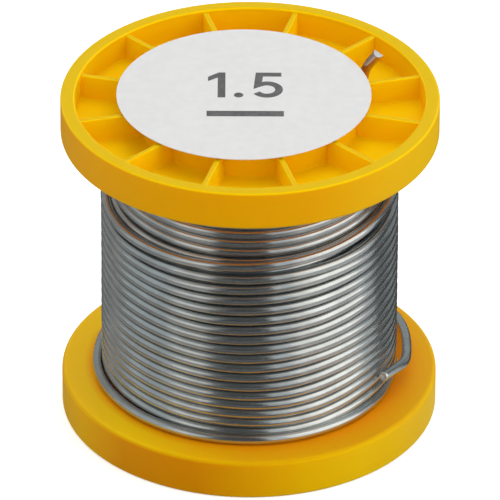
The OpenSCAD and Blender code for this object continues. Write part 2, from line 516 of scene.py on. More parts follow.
def profile_rows():
    """(radius, depth below the outer face, pocket) for each row; pocket is 0 outside the pockets."""
    rows = [(BORE_R, DEPTH, 0), (BORE_R, 3.0, 0)]

    def plain(points):
        rows.extend((r, h, 0) for r, h in points)

    def wall(radius, side, pocket, down):
        order = reversed(LEVELS) if down else LEVELS
        rows.extend((radius + side * off, POCKET - rise, pocket) for off, rise in order)

    plain(arc(BORE_R + RING_ROUND, RING_ROUND, RING_ROUND, 180, 270, 4))
    plain(arc(BOSS_R - RING_ROUND, RING_ROUND, RING_ROUND, 270, 360, 4))
    wall(BOSS_R, 1, 1, True)
    rows.append((0.5 * (BOSS_R + HUB_INNER_R), POCKET, 1))
    wall(HUB_INNER_R, -1, 1, False)
    plain(arc(HUB_INNER_R + RING_ROUND, RING_ROUND, RING_ROUND, 180, 270, 4))
    plain(arc(HUB_R - RING_ROUND, RING_ROUND, RING_ROUND, 270, 360, 4))
    wall(HUB_R, 1, 2, True)
    rows.extend((HUB_R + (RIM_INNER_R - HUB_R) * t, POCKET, 2) for t in (0.35, 0.65))
    wall(RIM_INNER_R, -1, 2, False)
    plain(arc(RIM_INNER_R + RIM_ROUND, RIM_ROUND, RIM_ROUND, 180, 270, 6))
    plain(arc(RIM_R - RIM_ROUND, RIM_ROUND, RIM_ROUND, 270, 360, 6))
    plain([(RIM_R, 0.5 * DEPTH)])
    plain(arc(RIM_R - WIRE_EDGE_ROUND, DEPTH - WIRE_EDGE_ROUND, WIRE_EDGE_ROUND, 0, 90, 8))
    plain([(21.5, DEPTH), (SPIGOT_R, DEPTH), (SPIGOT_R, DEPTH + SPIGOT_H)])
    plain([(HUB_INNER_R, DEPTH + SPIGOT_H), (HUB_INNER_R, DEPTH)])
    return rows


ROWS = profile_rows()
print("profile rows:", len(ROWS))

# %% Columns of one sixth: a rib, a spoke and a rib, with open floor between them


def rib_columns(angle, pocket):
    """(angle of the middle line, distance beside it, rise, pocket) across one rib or spoke."""
    half = []
    for off, rise in LEVELS:
        share = min(rise / (RIB_HEIGHT - RIB_ROUND), 1)
        beside = RIB_FOOT + (RIB_HEAD - RIB_FOOT) * share + off
        over = max(rise - (RIB_HEIGHT - RIB_ROUND), 0) / RIB_ROUND
        beside -= RIB_ROUND * (1 - math.sqrt(max(1 - over * over, 0)))
        half.append((angle, beside, rise, pocket))
    left = [(a, -b, rise, p) for a, b, rise, p in half]
    return left + [(angle, 0.0, RIB_HEIGHT, pocket)] + half[::-1]


RIB_LEFT = rib_columns(-15, 2)
SPOKE = rib_columns(0, 1)
RIB_RIGHT = rib_columns(15, 2)


def column_angle(column, radius):
    angle, beside, _, pocket = column
    if pocket == 2:
        beside *= min(1, radius / HUB_R)
    return math.radians(angle) + math.asin(beside / radius)


def sector_columns(radius):
    """Angle, rise and pocket of every column at one radius."""
    edge = math.radians(30)
    left, middle, right = (
        [(column_angle(c, radius), c[2], c[3]) for c in group] for group in (RIB_LEFT, SPOKE, RIB_RIGHT)
    )

    def between(a, b, steps):
        return [(a + (b - a) * i / steps, 0.0, 0) for i in range(1, steps)]

    return (
        [(-edge, 0.0, 0)] + between(-edge, left[0][0], 9) + left
        + between(left[-1][0], middle[0][0], 8) + middle
        + between(middle[-1][0], right[0][0], 8) + right
        + between(right[-1][0], edge, 9) + [(edge, 0.0, 0)]
    )


print("columns in one sixth:", len(sector_columns(20)))

# %% One sixth of a flange, with its outer face towards +Z or -Z


def flange_sector(name, facing_up):
    points, count = [], len(sector_columns(20))
    for radius, depth, pocket in ROWS:
        for angle, rise, of_pocket in sector_columns(radius):
            lifted = depth
            if pocket and of_pocket == pocket:
                lifted = POCKET - max(rise, POCKET - depth)
            z = SPOOL_H - lifted if facing_up else lifted
            points.append((radius * math.cos(angle), radius * math.sin(angle), z))
    faces = []
    for i in range(len(ROWS)):
        j = (i + 1) % len(ROWS)
        for k in range(count - 1):
            faces.append((i * count + k, i * count + k + 1, j * count + k + 1, j * count + k))
    return object_from_mesh(name, mesh_from_grid(name, points, faces))


print("a sector has", len(ROWS) * (len(sector_columns(20)) - 1), "faces before merging")

# %% [markdown]
# The node tree makes a row of points, puts the sector on each of them, and turns every copy by its
# share of a full turn. Realize Instances makes real mesh of the copies, and Merge by Distance closes
# the seams. The same could be done by a loop that copies points. A node tree keeps it open to change:
# its inputs show in the modifier.

# %% Helper for node trees


def new_geometry_tree(name, inputs):
    """A node tree with geometry in and out, more inputs by name and kind, and its two end nodes."""
    tree = bpy.data.node_groups.new(name, "GeometryNodeTree")
    kinds = {"Geometry": "Geometry", **inputs}
    for socket, kind in kinds.items():
        tree.interface.new_socket(socket, in_out="INPUT", socket_type="NodeSocket" + kind)
    tree.interface.new_socket("Geometry", in_out="OUTPUT", socket_type="NodeSocketGeometry")
    return tree, tree.nodes.new("NodeGroupInput"), tree.nodes.new("NodeGroupOutput")


print("node tree helper ready")

# %% Geometry Nodes: repeat round the axis


def repeat_round_axis():
    inputs = {"Copies": "Int", "Seam Distance": "Float", "Material": "Material"}
    tree, given, result = new_geometry_tree("repeat_round_axis", inputs)
    nodes = tree.nodes
    spots = nodes.new("GeometryNodePoints")
    copies = nodes.new("GeometryNodeInstanceOnPoints")
    turn = nodes.new("GeometryNodeRotateInstances")
    number = nodes.new("GeometryNodeInputIndex")
    step = nodes.new("ShaderNodeMath")
    step.operation = "DIVIDE"
    step.inputs[0].default_value = math.tau
    angle = nodes.new("ShaderNodeMath")
    angle.operation = "MULTIPLY"
    vector = nodes.new("ShaderNodeCombineXYZ")
    real = nodes.new("GeometryNodeRealizeInstances")
    merge = nodes.new("GeometryNodeMergeByDistance")
    paint = nodes.new("GeometryNodeSetMaterial")
    join(tree, given, "Copies", spots, "Count")
    join(tree, spots, 0, copies, "Points")
    join(tree, given, "Geometry", copies, "Instance")
    join(tree, copies, 0, turn, "Instances")
    join(tree, given, "Copies", step, 1)
    join(tree, step, 0, angle, 0)
    join(tree, number, 0, angle, 1)
    join(tree, angle, 0, vector, "Z")
    join(tree, vector, 0, turn, "Rotation")
    join(tree, turn, 0, real, 0)
    join(tree, real, 0, merge, "Geometry")
    join(tree, given, "Seam Distance", merge, "Distance")
    join(tree, merge, 0, paint, "Geometry")
    join(tree, given, "Material", paint, "Material")
    join(tree, paint, 0, result, 0)
    return tree


ROUND_AXIS = repeat_round_axis()
print("node tree:", ROUND_AXIS.name, len(ROUND_AXIS.nodes), "nodes")

# %% [markdown]
# The hole for the wire's start is drilled with a Boolean, because it is the one feature that the
# grid can't hold. The drill is a turned shape that widens at both faces, which gives the hole its
# small chamfers. Weighted normals keep the flat faces flat in the reflections. The two flanges are
# the same moulding, one turned over, and differ only in the tones of their plastic.

# %% Drill for the wire hole
WIRE_HOLE_R = 18.2
WIRE_HOLE_ANGLE = math.radians(27)


def turned_mesh(name, profile, segments, centre=(0, 0)):
    """A closed shape from (radius, z) points, the first and last of them on the axis."""
    points, faces = [(centre[0], centre[1], profile[0][1])], []
    for radius, z in profile[1:-1]:
        for k in range(segments):
            a = math.tau * k / segments
            points.append((centre[0] + radius * math.cos(a), centre[1] + radius * math.sin(a), z))
    points.append((centre[0], centre[1], profile[-1][1]))
    rings = len(profile) - 2
    for k in range(segments):
        n = (k + 1) % segments
        faces.append((0, 1 + n, 1 + k))
        for i in range(rings - 1):
            a, b = 1 + i * segments, 1 + (i + 1) * segments
            faces.append((a + k, a + n, b + n, b + k))
        last = 1 + (rings - 1) * segments
        faces.append((last + k, last + n, len(points) - 1))
    mesh = mesh_from_grid(name, points, faces)
    merge_and_face_out(mesh, 1e-8)
    return mesh


def wire_hole_drill(facing_up):
    profile = [(0, POCKET - 1), (1.35, POCKET - 0.12), (1.15, POCKET + 0.08)]
    profile += [(1.15, DEPTH - 0.08), (1.35, DEPTH + 0.12), (0, DEPTH + 1)]
    if facing_up:
        profile = [(r, SPOOL_H - h) for r, h in reversed(profile)]
    centre = (WIRE_HOLE_R * math.cos(WIRE_HOLE_ANGLE), WIRE_HOLE_R * math.sin(WIRE_HOLE_ANGLE))
    return object_from_mesh("wire_hole_drill", turned_mesh("wire_hole_drill", profile, 40, centre))


print("the wire's hole is", WIRE_HOLE_R, "mm from the axis")

# %% Make both flanges


def make_flange(node, facing_up, material):
    sector = flange_sector(node + "_sixth", facing_up)
    merge_and_face_out(sector.data, 2e-6)
    modifier = sector.modifiers.new("repeat", "NODES")
    modifier.node_group = ROUND_AXIS
    set_input(modifier, "Copies", 6)
    set_input(modifier, "Seam Distance", 2e-6)
    set_input(modifier, "Material", material)
    whole = frozen(sector, node + "_whole")
    merge_and_face_out(whole.data, 2e-6)
    drill = wire_hole_drill(facing_up)
    cut = whole.modifiers.new("wire_hole", "BOOLEAN")
    cut.operation = "DIFFERENCE"
    cut.solver = "EXACT"
    cut.object = drill
    drilled = frozen(whole, node + "_drilled")
    bpy.data.objects.remove(drill)
    drilled.data.shade_smooth()
    drilled.data.set_sharp_from_angle(angle=math.radians(34))
    weights = drilled.modifiers.new("normals", "WEIGHTED_NORMAL")
    weights.keep_sharp = True
    flange = frozen(drilled, node + "_moulding")
    flange.data.materials.clear()
    flange.data.materials.append(material)
    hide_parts(node)
    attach(flange, "root")
    return flange


upper_flange = make_flange("upper_flange", True, shaded_plastic)
lower_flange = make_flange("lower_flange", False, plastic)
for flange in (upper_flange, lower_flange):
    print(flange.name, len(flange.data.polygons), "faces")

# %% [markdown]
# ## Barrel
# The tube that the wire is wound on is all but hidden. It could be turned again like the flanges, but
# nobody would see the difference, so its solid stays and only gets the plastic.

# %% Barrel
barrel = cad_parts["barrel"]
barrel.data.materials.clear()
barrel.data.materials.append(plastic)
print("barrel keeps its solid,", len(barrel.data.polygons), "faces")

# %% [markdown]
# ## Wire
# The wire is one length: it stands up beside the label, goes down through its hole, winds from the
# top down, steps out over the layer below, and ends in one loose turn and a kinked free end. A Screw
# modifier could wind it as an even helix, but a real spool isn't wound that evenly: the turns dip in
# front and rise to both sides, and the amount changes slowly with the height. Small tables of angle
# and height describe that, and NumPy's interp reads them. Angles are measured round the spool from
# the front, positive to the right.

# %% Heights of the turns in front, and how the turns rise to the sides
WIRE_D = 1.5
WIRE_R = WIRE_D / 2
SECOND_LAYER_R = 19.35
OUTER_LAYER_R = 20.65
REST_Z = DEPTH + WIRE_R

FRONT_TURNS = [-7, -6, -5, -4, -3, -2, -1, 0, 1, 2, 4, 6, 8, 10, 12, 13, 14, 15, 16, 17]
FRONT_HEIGHTS = [
    45.5, 44.0, 42.5, 41.0, 39.5, 38.0, 36.5, 35.0, 32.68, 30.97, 27.56,
    24.24, 20.93, 17.76, 14.68, 13.15, 11.67, 10.18, 8.70, 7.18,
]

RISE_ANGLES = [-180, -120, -90, -70, -50, -30, -15, 0, 15, 30, 50, 70, 90, 120, 180]
EVEN_RISE = [1.00, 1.00, 1.00, 0.95, 0.58, 0.20, 0.04, 0.0, 0.03, 0.20, 0.58, 1.05, 1.10, 1.05, 1.00]
RISE_TABLE = {
    7.1: [0.10, 0.15, 0.40, 0.42, 0.36, 0.13, 0.08, 0.0, -0.12, -0.02, 0.48, 0.65, 0.60, 0.20, 0.10],
    8.7: [0.40, 0.50, 0.80, 0.90, 0.74, 0.33, 0.23, 0.0, -0.18, -0.04, 0.75, 1.00, 0.85, 0.50, 0.40],
    11.7: [0.75, 0.80, 0.97, 0.95, 0.81, 0.47, 0.23, 0.0, -0.13, 0.28, 1.04, 1.13, 1.00, 0.75, 0.75],
    14.7: [0.78, 0.82, 0.94, 0.94, 0.79, 0.45, 0.22, 0.0, 0.04, 0.51, 1.04, 1.03, 0.95, 0.78, 0.78],
    17.8: [0.80, 0.90, 1.00, 1.05, 0.77, 0.59, 0.26, 0.0, 0.25, 0.66, 0.82, 1.10, 1.05, 0.85, 0.80],
    20.9: [0.78, 0.85, 0.95, 0.95, 0.78, 0.53, 0.06, 0.0, 0.30, 0.41, 0.90, 1.30, 1.35, 1.00, 0.78],
    24.3: [0.75, 0.75, 0.75, 0.78, 0.80, 0.17, -0.15, 0.0, 0.06, 0.24, 1.02, 1.20, 1.25, 0.95, 0.75],
    27.5: [0.72, 0.68, 0.68, 0.70, 0.52, 0.08, -0.08, 0.0, 0.10, 0.28, 0.62, 0.85, 0.90, 0.85, 0.72],
    30.9: [0.70, 0.65, 0.50, 0.36, 0.16, 0.00, 0.0, 0.0, 0.28, 0.56, 0.68, 0.80, 0.88, 0.82, 0.70],
    32.7: [0.90, 0.70, 0.35, 0.10, 0.14, 0.22, 0.10, 0.0, 0.20, 0.26, 0.08, 0.60, 0.90, 0.95, 0.90],
    35.0: [1.20, 0.60, 0.25, -0.05, -0.10, -0.10, 0.0, 0.0, 0.30, 0.60, 1.15, 2.05, 2.20, 1.80, 1.20],
    36.2: EVEN_RISE,
    44.5: [0.6, 0.6, 0.6, 0.6, 0.5, 0.20, 0.05, 0.0, 0.04, 0.20, 0.5, 0.6, 0.6, 0.6, 0.6],
}


def smooth_step(t):
    t = np.clip(t, 0, 1)
    return t * t * (3 - 2 * t)


def rise(side_angle, height):
    """How far a turn lies above its height in front, at one angle, smoothed over 12 degrees."""
    total = 0.0
    heights = sorted(RISE_TABLE)
    for offset, weight in ((-12, 0.25), (0, 0.5), (12, 0.25)):
        a = (side_angle + offset + 180) % 360 - 180
        values = [np.interp(a, RISE_ANGLES, RISE_TABLE[h]) for h in heights]
        total += weight * np.interp(height, heights, values)
    return total


print("front heights from", FRONT_HEIGHTS[0], "to", FRONT_HEIGHTS[-1], "mm")

# %% The route of the wire
STEP = 3.0
STEP_OUT = 0.22
START_R = 18.26
HOLE_SIDE = math.degrees(WIRE_HOLE_ANGLE) + 90
START_SIDE = HOLE_SIDE - 5
START_TURN = -5 - START_SIDE / 360
END_TURN = 17 + 270 / 360
RIPPLE = np.random.default_rng(7).normal(size=(40, 3))
UNEVEN_R, UNEVEN_Z = 0.03, 0.015


def place(radius, side_angle, z):
    a = math.radians(side_angle - 90)
    return (radius * math.cos(a), radius * math.sin(a), z)


def ripple(turn, side_angle):
    """A small irregularity that differs from turn to turn and runs on smoothly."""
    k = turn + 10
    i, f = int(k), k - int(k)
    mix = RIPPLE[i] * (1 - f) + RIPPLE[i + 1] * f
    a = math.radians(side_angle)
    return mix[0] * math.cos(a) + mix[1] * math.sin(2 * a) + 0.6 * mix[2] * math.cos(3 * a + 1)


def wound_radius(turn):
    """The wire steps out to the outer layer just before turn 0, and rides high while it does so."""
    grown = SECOND_LAYER_R + (OUTER_LAYER_R - SECOND_LAYER_R) * smooth_step((turn + 0.62) / 0.34)
    grown += STEP_OUT * smooth_step((turn + 0.36) / 0.2) * smooth_step((0.3 - turn) / 0.25)
    start = smooth_step((turn - START_TURN) / 0.12)
    return START_R + (grown - START_R) * start


def wound_route():
    points = []
    count = int(round((END_TURN - START_TURN) * 360 / STEP))
    for i in range(count + 1):
        turn = START_TURN + (END_TURN - START_TURN) * i / count
        side = -360 * turn
        z = np.interp(turn, FRONT_TURNS, FRONT_HEIGHTS)
        z += rise(side, z)
        z = min(max(z, REST_Z), SPOOL_H - DEPTH - WIRE_R)
        wave = ripple(turn, side)
        points.append(place(wound_radius(turn) + UNEVEN_R * wave, side, z + UNEVEN_Z * wave))
    return points


WOUND = wound_route()
print("wound part:", len(WOUND), "points")

# %% [markdown]
# The start and the free end are short lists of places, joined by a smooth curve through them. The
# Catmull-Rom formula gives such a curve without any handles to set. A place is a radius, an angle to
# the side and a height, and for the kinked end, where the wire leaves the round, plain X, Y and Z.

# %% Start, loose turn and free end


def smooth_through(places, step=0.35):
    """Points about step apart on a Catmull-Rom curve through the places."""
    p = [np.array(v, float) for v in places]
    p = [2 * p[0] - p[1]] + p + [2 * p[-1] - p[-2]]
    points = [p[1]]
    for i in range(1, len(p) - 2):
        n = max(int(np.linalg.norm(p[i + 1] - p[i]) / step), 1)
        for k in range(1, n + 1):
            t = k / n
            points.append(0.5 * (
                2 * p[i] + (p[i + 1] - p[i - 1]) * t
                + (2 * p[i - 1] - 5 * p[i] + 4 * p[i + 1] - p[i + 2]) * t ** 2
                + (3 * p[i] - p[i - 1] - 3 * p[i + 1] + p[i + 2]) * t ** 3
            ))
    return points


TAIL_HEIGHTS = [53.75, 52.65, 51.7, 50.7, 49.6, 48.5, 47.4, 46.2, 45.3, 44.5]
TAIL_RADII = [21.15, 20.48, 19.9, 19.25, 18.75, 18.4, 18.24, 18.2, 18.2, 18.21]
TAIL_TURNS = [-1.2, -0.7, 0.3, 1.3, 1.8, 1.3, 0.5, 0, 0, -1.2]
LOOSE_TURN = [
    (20.9, 80, 0.35), (21.3, 60, 0.1), (21.65, 40, 0.02), (21.85, 20, 0.0), (21.93, 0, 0.0),
    (21.98, -22, 0.0), (22.0, -45, 0.0), (22.0, -68, 0.02), (22.0, -90, 0.05), (22.2, -115, 0.05),
    (22.5, -140, 0.05), (22.75, -165, 0.05), (23.1, -190, 0.05), (23.6, -215, 0.1), (23.95, -235, 0.25),
]
FREE_END = [
    (21.2, 11.1, 7.1), (22.08, 8.5, 7.36), (22.55, 5.6, 7.82), (22.77, 2.6, 8.37), (22.82, -0.3, 8.96),
    (22.77, -3.3, 9.6), (22.5, -5.85, 10.02), (21.82, -7.5, 10.2), (20.55, -9.28, 10.38),
    (19.31, -10.95, 10.46),
]
TAIL = smooth_through([
    place(radius, HOLE_SIDE + turn, z) for radius, turn, z in zip(TAIL_RADII, TAIL_TURNS, TAIL_HEIGHTS)
])
LOOSE_PLACES = [place(radius, side, REST_Z + lift) for radius, side, lift in LOOSE_TURN] + FREE_END
REPEATED = 4  # the curve's first points lie on the last step of the wound part
LOOSE = smooth_through(WOUND[-2:] + LOOSE_PLACES)[REPEATED:]
ROUTE = TAIL + WOUND + LOOSE
ROUTE_LENGTH = sum(np.linalg.norm(np.subtract(a, b)) for a, b in zip(ROUTE, ROUTE[1:]))
print("visible wire:", round(ROUTE_LENGTH / 1000, 2), "m in", len(ROUTE), "points")

# %% [markdown]
# The tube itself is made by Geometry Nodes: a mesh line becomes a curve, and Curve to Mesh sweeps a
# circle along it. The radius and the number of sides are inputs of the tree, so that the hidden turns
# below can use the same tree with a plainer tube.

# %% Geometry Nodes: draw wire along a line


def draw_wire_tree():
    inputs = {"Wire Radius": "Float", "Sides": "Int", "Material": "Material"}
    tree, given, result = new_geometry_tree("draw_wire", inputs)
    nodes = tree.nodes
    curve = nodes.new("GeometryNodeMeshToCurve")
    circle = nodes.new("GeometryNodeCurvePrimitiveCircle")
    sweep = nodes.new("GeometryNodeCurveToMesh")
    smooth = nodes.new("GeometryNodeSetShadeSmooth")
    real = nodes.new("GeometryNodeRealizeInstances")
    paint = nodes.new("GeometryNodeSetMaterial")
    join(tree, given, "Geometry", curve, "Mesh")
    join(tree, given, "Wire Radius", circle, "Radius")
    join(tree, given, "Sides", circle, "Resolution")
    join(tree, curve, 0, sweep, "Curve")
    join(tree, circle, 0, sweep, "Profile Curve")
    join(tree, sweep, 0, smooth, "Geometry")
    join(tree, smooth, 0, real, 0)
    join(tree, real, 0, paint, "Geometry")
    join(tree, given, "Material", paint, "Material")
    join(tree, paint, 0, result, 0)
    return tree


DRAW_WIRE = draw_wire_tree()


def wire_along(name, route, radius, sides, material):
    line = bpy.data.meshes.new(name + "_line")
    line.from_pydata(
        [tuple(np.array(p) * MM) for p in route], [(i, i + 1) for i in range(len(route) - 1)], []
    )
    piece = object_from_mesh(name + "_line", line)
    modifier = piece.modifiers.new("draw", "NODES")
    modifier.node_group = DRAW_WIRE
    set_input(modifier, "Wire Radius", radius * MM)
    set_input(modifier, "Sides", sides)
    set_input(modifier, "Material", material)
    return frozen(piece, name)


DRAWN_R = WIRE_R * 0.985
wire = wire_along("wound_solder_wire", ROUTE, DRAWN_R, 14, solder)
print(wire.name, len(wire.data.polygons), "faces")

# %% [markdown]
# Both ends were cut with pliers. The start has a chisel end, made by two slanting cuts. The free end
# is a round face with a small pit, where the flux in the wire's middle shows. Both are made on the
# open tube: the first by cutting it with two planes, the second by drawing its rim inwards.

# %% Chisel end of the start
END_REACH = 3.0


def chisel_start(work, tip, along, ridge_side):
    for lean in (0.62, -0.8):
        normal = (along * math.cos(lean) + ridge_side * math.sin(lean)).normalized()
        near = [v for v in work.verts if (v.co - tip).length < END_REACH * MM]
        near_set = set(near)
        edges = [e for e in work.edges if e.verts[0] in near_set and e.verts[1] in near_set]
        faces = [f for f in work.faces if all(v in near_set for v in f.verts)]
        cut = bmesh.ops.bisect_plane(
            work, geom=near + edges + faces, plane_co=tip - along * 1.2 * MM, plane_no=normal,
            clear_outer=True, dist=1e-7,
        )
        rim = [e for e in cut["geom_cut"] if isinstance(e, bmesh.types.BMEdge) and e.is_boundary]
        made = bmesh.ops.edgeloop_fill(work, edges=rim) if rim else {"faces": []}
        for f in made["faces"]:
            f.material_index = 1
            f.smooth = False


print("an end reaches", END_REACH, "mm along the wire")

# %% Pit in the free end


def rim_near(work, centre):
    edges = [e for e in work.edges if e.is_boundary]
    return [e for e in edges if (e.verts[0].co - centre).length < END_REACH * MM]


def pit_in_free_end(work, tip, along):
    rim = rim_near(work, tip)
    steps = ((0.93, 0.05), (0.80, 0.07), (0.62, 0.05), (0.50, 0.02), (0.42, -0.14), (0.26, -0.2))
    first = [v.co.copy() for v in {v for e in rim for v in e.verts}]
    centre = sum(first, Vector()) / len(first)
    before = 1.0
    for share, forward in steps:
        made = bmesh.ops.extrude_edge_only(work, edges=rim)
        verts = [g for g in made["geom"] if isinstance(g, bmesh.types.BMVert)]
        rim = [g for g in made["geom"] if isinstance(g, bmesh.types.BMEdge) and g.is_boundary]
        for v in verts:
            out = v.co - centre
            out -= along * out.dot(along)
            uneven = 1 + 0.06 * math.sin(5 * math.atan2(out.z, out.x) + share * 9)
            v.co = centre + out * (share / before) * uneven + along * forward * MM
        for f in [g for g in made["geom"] if isinstance(g, bmesh.types.BMFace)]:
            f.material_index = 1
        before = share
    filled = bmesh.ops.edgeloop_fill(work, edges=rim)
    for f in filled["faces"]:
        f.material_index = 1


print("the free end lies at", [round(float(v), 1) for v in ROUTE[-1]], "mm")

# %% Cut the two ends


def direction(a, b):
    return (Vector(b) - Vector(a)).normalized()


def finish_ends(piece):
    piece.data.materials.append(fresh_cut)
    work = bmesh.new()
    work.from_mesh(piece.data)
    to_camera = Vector((0, -math.cos(ELEVATION), math.sin(ELEVATION)))
    up = direction(ROUTE[3], ROUTE[0])
    towards = (to_camera - up * to_camera.dot(up)).normalized()
    chisel_start(work, Vector(ROUTE[0]) * MM, up, towards)
    pit_in_free_end(work, Vector(ROUTE[-1]) * MM, direction(ROUTE[-3], ROUTE[-1]))
    bmesh.ops.recalc_face_normals(work, faces=work.faces)
    work.to_mesh(piece.data)
    work.free()


finish_ends(wire)
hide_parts("solder_wire")
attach(wire, "root")
print("ends cut:", len(wire.data.polygons), "faces")

# %% [markdown]
# Below its outermost layer the wire has more turns. They show in the open gap under the first outer
# turn and between the first bare ones, so they are drawn too, as plain turns that lie side by side.
# The real wire is one length, but nobody sees where one layer goes over into the next.

# %% Turns of the layers below
LOWER_RISE = [1.0, 0.95, 0.9, 0.8, 0.5, 0.2, 0.05, 0.0, 0.14, 0.55, 1.35, 1.5, 1.3, 1.1, 1.0]


def layer_below(turns, heights, radius):
    """A plain layer that passes the front at the given heights, listed by turn, from the top down."""
    points = []
    for i in range(int(turns[0] * 72), int(turns[-1] * 72) + 1):
        turn = i / 72
        side = -360 * turn
        z = np.interp(turn, turns, heights)
        a = (side + 180) % 360 - 180
        lift = np.interp(turn, [0.1, 0.6, 1.2, 2], [0.5, 1, 1, 0.6])
        z += min(lift * np.interp(a, RISE_ANGLES, LOWER_RISE), max(z - REST_Z, 0) * 0.3)
        points.append(place(radius, side, max(z, REST_Z)))
    return points


SECOND_LAYER = layer_below(
    [-0.75, -0.6, -0.5, -0.27, 0, 1, 18.5], [34.45, 34.95, 35.2, 35.3, 34.9, 33.15, 7.0],
    SECOND_LAYER_R,
)
FIRST_LAYER = layer_below([-0.27, 8], [43.0, 31.0], SECOND_LAYER_R - 1.3)
inner_turns = wire_along("inner_wire_turns", SECOND_LAYER, DRAWN_R, 10, solder)
inner_start = wire_along("innermost_wire_turns", FIRST_LAYER, DRAWN_R, 10, solder)
for piece in (inner_turns, inner_start):
    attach(piece, "root")
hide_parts("inner_layers")
print("turns below:", len(inner_turns.data.polygons) + len(inner_start.data.polygons), "faces")

# %% [markdown]
# ## Label
# A round paper label lies on the hub, stuck on slightly off centre. A flat circle could stand for it,
# but real paper shows its thickness as a fine bright edge. So it is turned from a profile, like the
# drill, with a chamfer of a few hundredths of a millimetre at both edges.

# %% Label
LABEL_LOW, LABEL_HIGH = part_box("top_label")
LABEL_C = (LABEL_LOW + LABEL_HIGH) / 2 / MM
LABEL_R = (LABEL_HIGH.x - LABEL_LOW.x) / 2 / MM
LABEL_Z0, LABEL_Z1 = LABEL_LOW.z / MM, LABEL_HIGH.z / MM


def make_label():
    profile = [(0, LABEL_Z0), (LABEL_R - 0.04, LABEL_Z0), (LABEL_R, LABEL_Z0 + 0.04)]
    profile += [(LABEL_R, LABEL_Z1 - 0.04), (LABEL_R - 0.04, LABEL_Z1), (0, LABEL_Z1)]
    mesh = turned_mesh("paper_label", profile, 160, (LABEL_C.x, LABEL_C.y))
    mesh.materials.append(paper)
    label = object_from_mesh("paper_label", mesh)
    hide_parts("top_label")
    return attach(label, "root")


label = make_label()
print(label.name, "radius", round(LABEL_R, 2), "mm")

# %% [markdown]
# The label carries a plain gauge mark: the number 1.5 and under it a bar as thick as the wire. A Text
# object would bring a font's shapes along. These figures are drawn from strokes of their own: corners
# for the one, a round for the point, and for the five a pen line that gets its width from both sides.
# A flat curve fills such outlines, and a little Extrude makes them a sheet of ink.

# %% Figures of the gauge mark
ONE = [(-0.55, 0), (0.55, 0), (0.55, 7), (-0.4, 7), (-1.95, 5.75), (-1.95, 4.55), (-0.55, 5.55)]
DOT_R = 0.68
POINT = [(DOT_R * math.cos(a), DOT_R + DOT_R * math.sin(a)) for a in np.arange(20) * math.pi / 10]
BAR = [(-5.5, -WIRE_R), (5.5, -WIRE_R), (5.5, WIRE_R), (-5.5, WIRE_R)]


def stroke_outline(points, half_width):
    """The outline of one pen stroke: both sides of the line, with mitred corners."""
    left, right = [], []
    for i, here in enumerate(points):
        x, y = here
        before, after = points[max(i - 1, 0)], points[min(i + 1, len(points) - 1)]
        sides = []
        for a, b in ((before, here), (here, after)):
            length = math.dist(a, b)
            if length:
                sides.append(((a[1] - b[1]) / length, (b[0] - a[0]) / length))
        nx, ny = (sum(side[k] for side in sides) / len(sides) for k in (0, 1))
        scale = half_width / (nx * nx + ny * ny)
        left.append((x + nx * scale, y + ny * scale))
        right.append((x - nx * scale, y - ny * scale))
    return left + right[::-1]


def figure_five():
    bowl = [math.radians(125 - 275 * k / 22) for k in range(23)]
    line = [(1.95, 6.45), (-1.2, 6.45), (-1.42, 3.45)]
    line += [(-0.1 + 1.72 * math.cos(a), 2.25 + 1.72 * math.sin(a)) for a in bowl]
    return stroke_outline(line, 0.55)


print("corners of the one and the five:", len(ONE), "and", len(figure_five()))

# %% Print the mark
INK_THICKNESS = 0.008
BASE_LINE, BAR_LINE = -1.1, -5.6
FIGURES = [(ONE, -3.2, BASE_LINE), (POINT, -0.75, BASE_LINE), (figure_five(), 3.4, BASE_LINE)]


def flat_print(name, outlines):
    """A printed mark, a thin sheet of ink, from closed outlines in millimetres."""
    data = bpy.data.curves.new(name, "CURVE")
    data.dimensions = "2D"
    data.fill_mode = "BOTH"
    data.extrude = INK_THICKNESS / 2 * MM
    for corners, x, y in outlines:
        line = data.splines.new("POLY")
        line.points.add(len(corners) - 1)
        for point, corner in zip(line.points, corners):
            point.co = ((corner[0] + x) * MM, (corner[1] + y) * MM, 0, 1)
        line.use_cyclic_u = True
    data.materials.append(ink)
    mark = frozen(object_from_mesh(name + "_curve", data), name)
    middle = Vector((LABEL_C.x, LABEL_C.y, LABEL_Z1 + INK_THICKNESS / 2))
    mark.data.transform(Matrix.Translation(middle * MM))
    merge_and_face_out(mark.data, 1e-7)
    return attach(mark, "root")


number_mark = flat_print("label_number", FIGURES)
bar_mark = flat_print("label_gauge_bar", [(BAR, 0.2, BAR_LINE)])
print("marks:", len(number_mark.data.polygons), "and", len(bar_mark.data.polygons), "faces")

# %% [markdown]
# ## Floor and light
# The floor is a wide pale plane that takes a faint shadow. The world lights everything softly, and it
# is plain white wherever the camera, a reflection or a refraction sees it. Light Path tells these rays
# apart, so a white background adds no light to the object. The simpler way, a bright white world,
# would wash out the amber.

# %% What direct rays see


def seen_directly(tree):
    """1 for camera, glossy and transmission rays, 0 for the rays that carry light on."""
    path = add_node(tree, "LightPath")
    most = path.outputs["Is Camera Ray"]
    for name in ("Is Glossy Ray", "Is Transmission Ray"):
        largest = add_node(tree, "Math", operation="MAXIMUM")
        tree.links.new(most, largest.inputs[0])
        join(tree, path, name, largest, 1)
        most = largest.outputs[0]
    return most


def mixed(tree, factor, kind, off, on):
    """Mixes two nodes of one kind by factor: off where it is 0, on where it is 1."""
    pair = [add_node(tree, kind, **values) for values in (off, on)]
    mix = add_node(tree, "MixShader")
    tree.links.new(factor, mix.inputs[0])
    tree.links.new(pair[0].outputs[0], mix.inputs[1])
    tree.links.new(pair[1].outputs[0], mix.inputs[2])
    return mix


print("direct rays can be told apart")

# %% Floor
FLOOR_REACH = 3.0
FLOOR_DULL, FLOOR_PALE = grey(0.45), grey(0.85)
FLOOR_GLOW = 0.5


